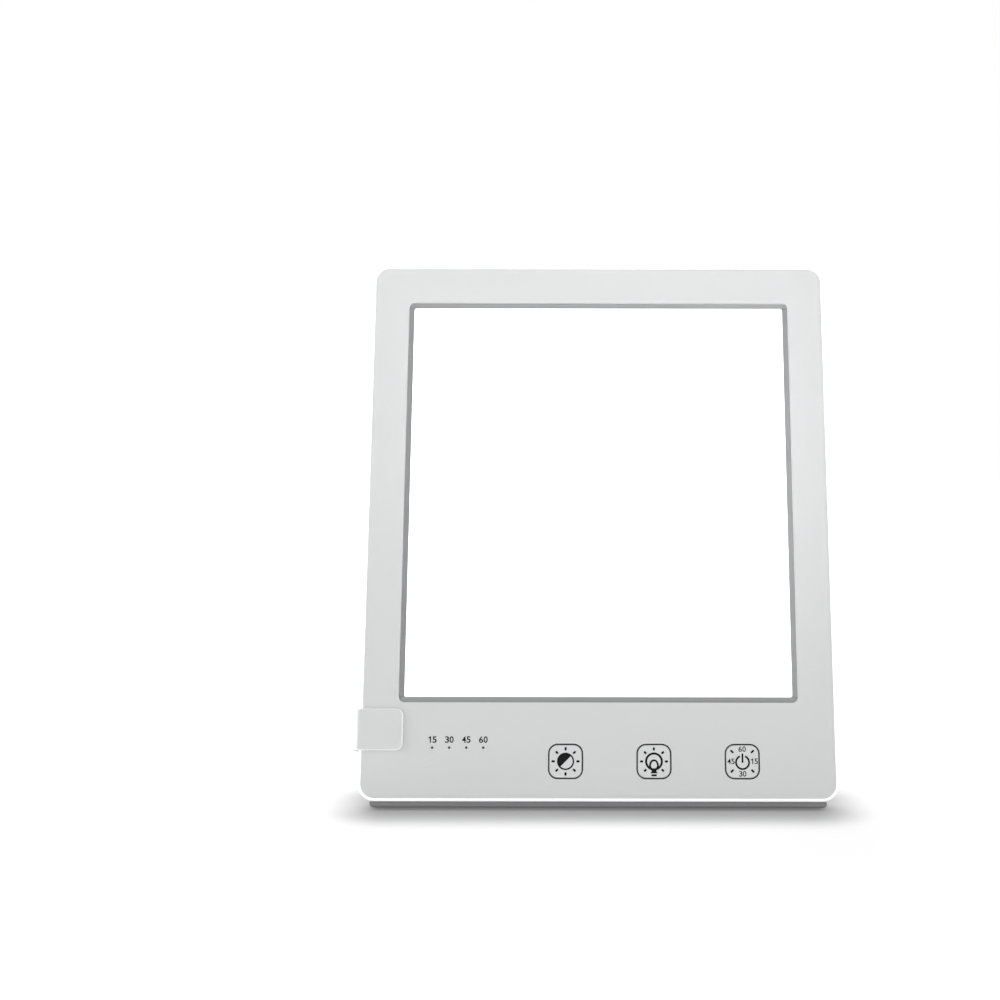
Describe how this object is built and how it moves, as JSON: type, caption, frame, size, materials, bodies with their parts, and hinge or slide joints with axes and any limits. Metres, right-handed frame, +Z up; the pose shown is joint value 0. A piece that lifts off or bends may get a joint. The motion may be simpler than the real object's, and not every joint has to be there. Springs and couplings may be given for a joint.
{
  "type": "light therapy lamp",
  "caption": "Thin tablet-shaped light therapy lamp: large lit window, three press keys and timer lights, leaning on a soft base strip and a clip-on folding stand.",
  "frame": {"origin": "middle of the flat face under the soft base strip, where the lamp stands on the table", "axes": "+Z up, +X to the right seen from the front, +Y from the lit face to the back"},
  "size_m": [0.213, 0.0861, 0.2419],
  "materials": {
    "shell_white": "fine satin moulded",
    "cover_white": "fine satin moulded",
    "key_white": "satin, printed symbols",
    "stand_white": "satin moulded",
    "trim_grey": "satin",
    "opal_diffuser": "opal, lit from behind",
    "clear_guide": "clear acrylic",
    "film_white": "matt film",
    "black_plastic": "fine matt",
    "soft_grey": "matt silicone",
    "aluminium": "mill",
    "steel": "satin",
    "board_green": "solder mask",
    "led_strip_white": "solder mask",
    "led_yellow": "phosphor",
    "lead_red": "insulation",
    "part_tan": "ceramic",
    "connector_ivory": "nylon"
  },
  "bodies": {
    "panel": {"front_shell": "shell_white", "window_trim": "trim_grey", "diffuser_plate": "opal_diffuser", "diffusion_film": "film_white", "light_guide": "clear_guide", "reflector_sheet": "film_white", "heat_plate": "aluminium", "led_strip_left": "led_strip_white", "led_strip_right": "led_strip_white", "leds_left": "led_yellow", "leds_right": "led_yellow", "heat_plate_screws": "steel", "control_board": "board_green", "board_screws": "steel", "tact_switches": "steel", "key_rings": "black_plastic", "timer_light_pipes": "black_plastic", "timer_leds": "led_yellow", "controller_chip": "black_plastic", "driver_coil": "soft_grey", "capacitors": "part_tan", "lead_connectors": "connector_ivory", "led_leads": "lead_red", "usb_socket": "steel", "usb_tongue": "black_plastic", "port_surround": "black_plastic", "back_cover": "cover_white", "vent_screens": "black_plastic", "base_pad": "soft_grey"},
    "brightness_key": {"key_brightness": "key_white", "post_brightness": "soft_grey"},
    "colour_key": {"key_colour": "key_white", "post_colour": "soft_grey"},
    "power_key": {"key_power": "key_white", "post_power": "soft_grey"},
    "stand": {"stand_clip": "stand_white", "clip_pads": "soft_grey", "hinge_pin": "steel", "hinge_washers": "soft_grey"},
    "leg": {"stand_leg": "stand_white", "foot_pad": "soft_grey"}
  },
  "joints": [
    {"name": "brightness_key_press", "type": "slide", "parent": "panel", "child": "brightness_key", "axis": [0, 0.9659, -0.2588], "range_m": [0, 0.00035], "stiffness_N_per_m": 3000, "springref_m": -0.0002},
    {"name": "colour_key_press", "type": "slide", "parent": "panel", "child": "colour_key", "axis": [0, 0.9659, -0.2588], "range_m": [0, 0.00035], "stiffness_N_per_m": 3000, "springref_m": -0.0002},
    {"name": "power_key_press", "type": "slide", "parent": "panel", "child": "power_key", "axis": [0, 0.9659, -0.2588], "range_m": [0, 0.00035], "stiffness_N_per_m": 3000, "springref_m": -0.0002},
    {"name": "stand_pull_off", "type": "slide", "parent": "panel", "child": "stand", "axis": [-1, 0, 0], "range_m": [0, 0.055]},
    {"name": "leg_fold", "type": "hinge", "parent": "stand", "child": "leg", "pos_m": [-0.077, 0.03931, 0.10749], "axis": [-1, 0, 0], "range_deg": [0, 32]}
  ]
}
